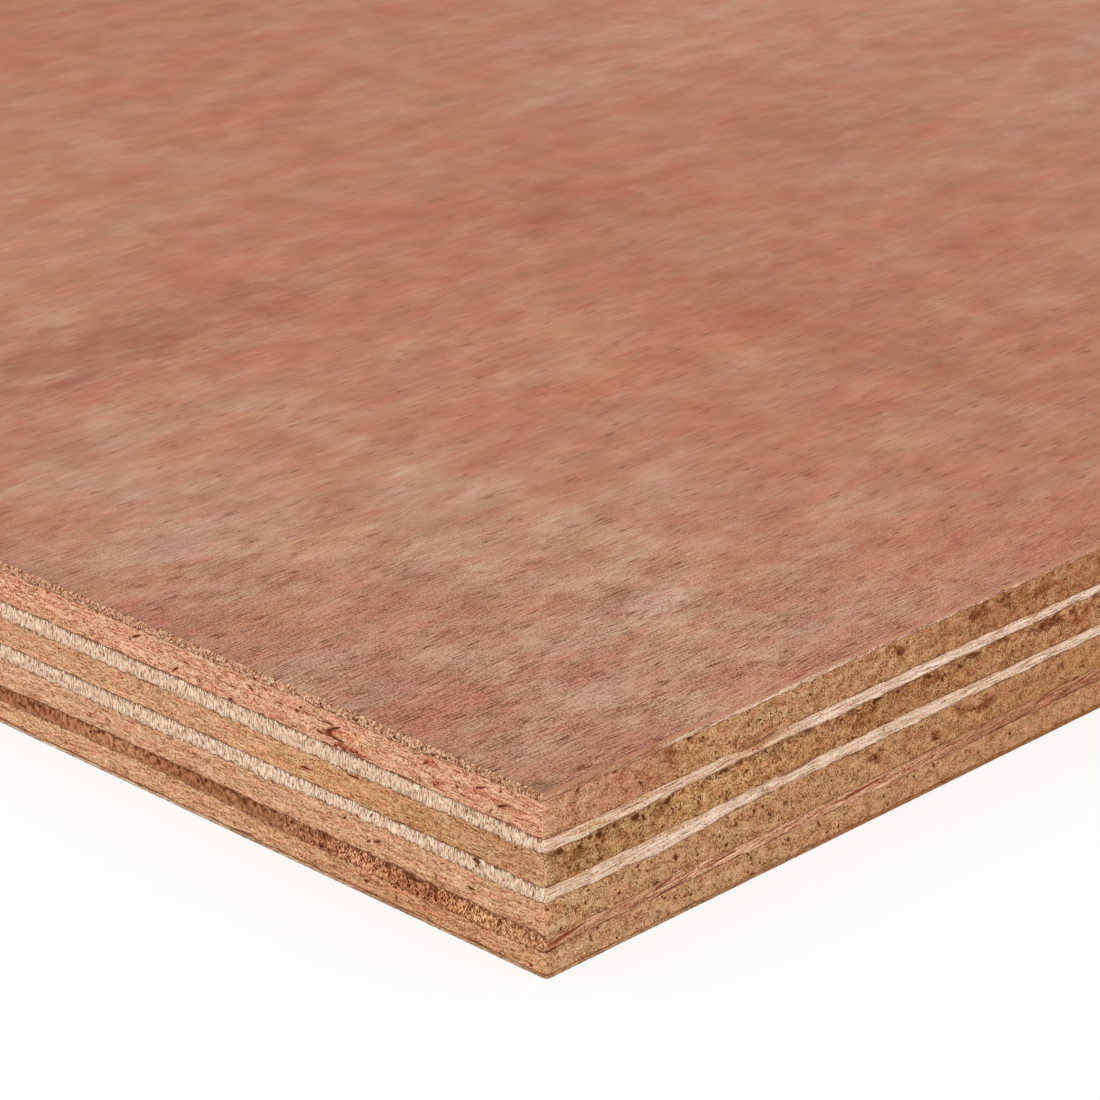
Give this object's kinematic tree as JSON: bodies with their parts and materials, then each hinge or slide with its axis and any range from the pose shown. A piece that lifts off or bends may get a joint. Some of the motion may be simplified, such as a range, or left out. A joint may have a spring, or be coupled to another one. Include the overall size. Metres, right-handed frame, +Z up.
{
  "type": "plywood sheet",
  "caption": "Full sheet of hardwood plywood lying flat, with pale and brown crossed veneers showing on its sawn edges.",
  "frame": {"origin": "centre of the sheet's underside", "axes": "+X along the sheet and along the grain of both faces, +Y across it, +Z up out of the better face"},
  "size_m": [2.44, 1.22, 0.018],
  "materials": {
    "face_veneer": "sanded, matt, pinkish brown rotary cut hardwood with fine dark pores",
    "cross_ply_1": "sawn, pinkish orange hardwood, torn fibres on the short ends",
    "long_ply_1": "sawn, cream white softer wood",
    "cross_ply_2": "sawn, ochre hardwood",
    "long_ply_2": "sawn, cream white softer wood",
    "cross_ply_3": "sawn, orange tan hardwood",
    "long_ply_3": "sawn, reddish brown hardwood, rough on the short ends",
    "cross_ply_4": "sawn, orange tan hardwood",
    "back_veneer": "sanded, matt, reddish brown rotary cut hardwood"
  },
  "bodies": {
    "root": {"face_veneer": "face_veneer", "cross_ply_1": "cross_ply_1", "long_ply_1": "long_ply_1", "cross_ply_2": "cross_ply_2", "long_ply_2": "long_ply_2", "cross_ply_3": "cross_ply_3", "long_ply_3": "long_ply_3", "cross_ply_4": "cross_ply_4", "back_veneer": "back_veneer"}
  },
  "joints": []
}
